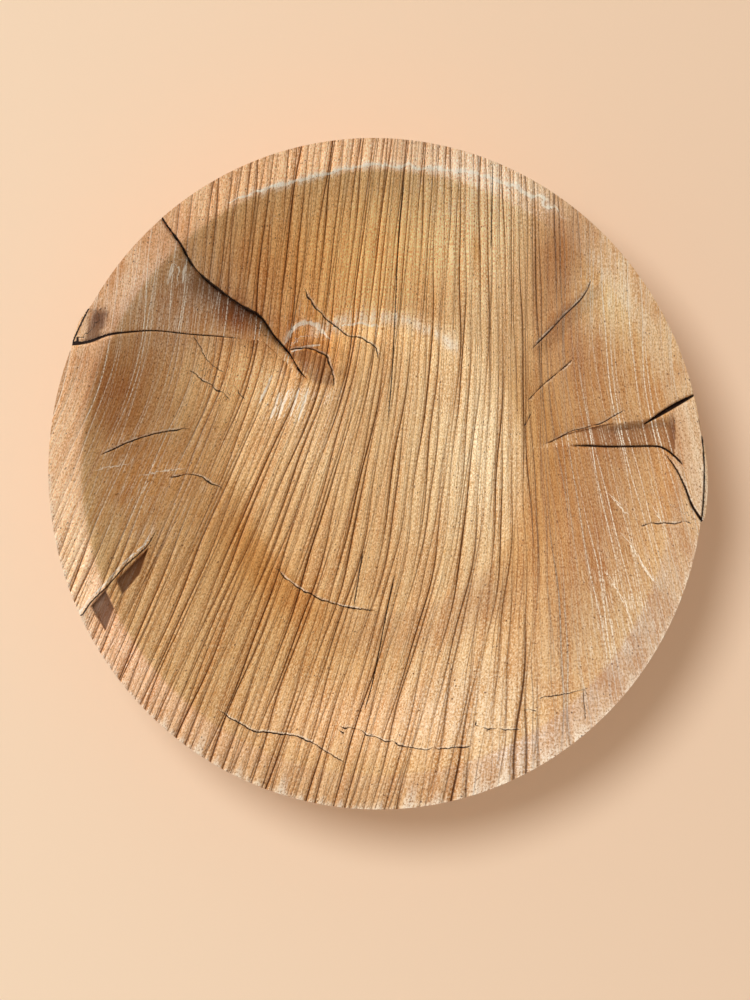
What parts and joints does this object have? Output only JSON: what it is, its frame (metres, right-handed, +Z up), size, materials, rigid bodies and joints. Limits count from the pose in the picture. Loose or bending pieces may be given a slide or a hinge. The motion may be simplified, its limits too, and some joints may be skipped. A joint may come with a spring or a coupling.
{
  "type": "palm leaf bowl",
  "caption": "Round disposable bowl pressed in one piece from a palm leaf sheath, with a flat floor, a sloping wall, a flatter lip, ribbed grain and folds where the leaf was gathered.",
  "frame": {"origin": "on the table, under the middle of the rim", "axes": "+Z up, +Y to the far side of the bowl as the picture shows it, +X to the right"},
  "size_m": [0.179, 0.1822, 0.0425],
  "materials": {
    "leaf": "pressed palm leaf sheath, satin, with ribbed fibre grain"
  },
  "bodies": {
    "root": {"bowl": "leaf"}
  },
  "joints": []
}
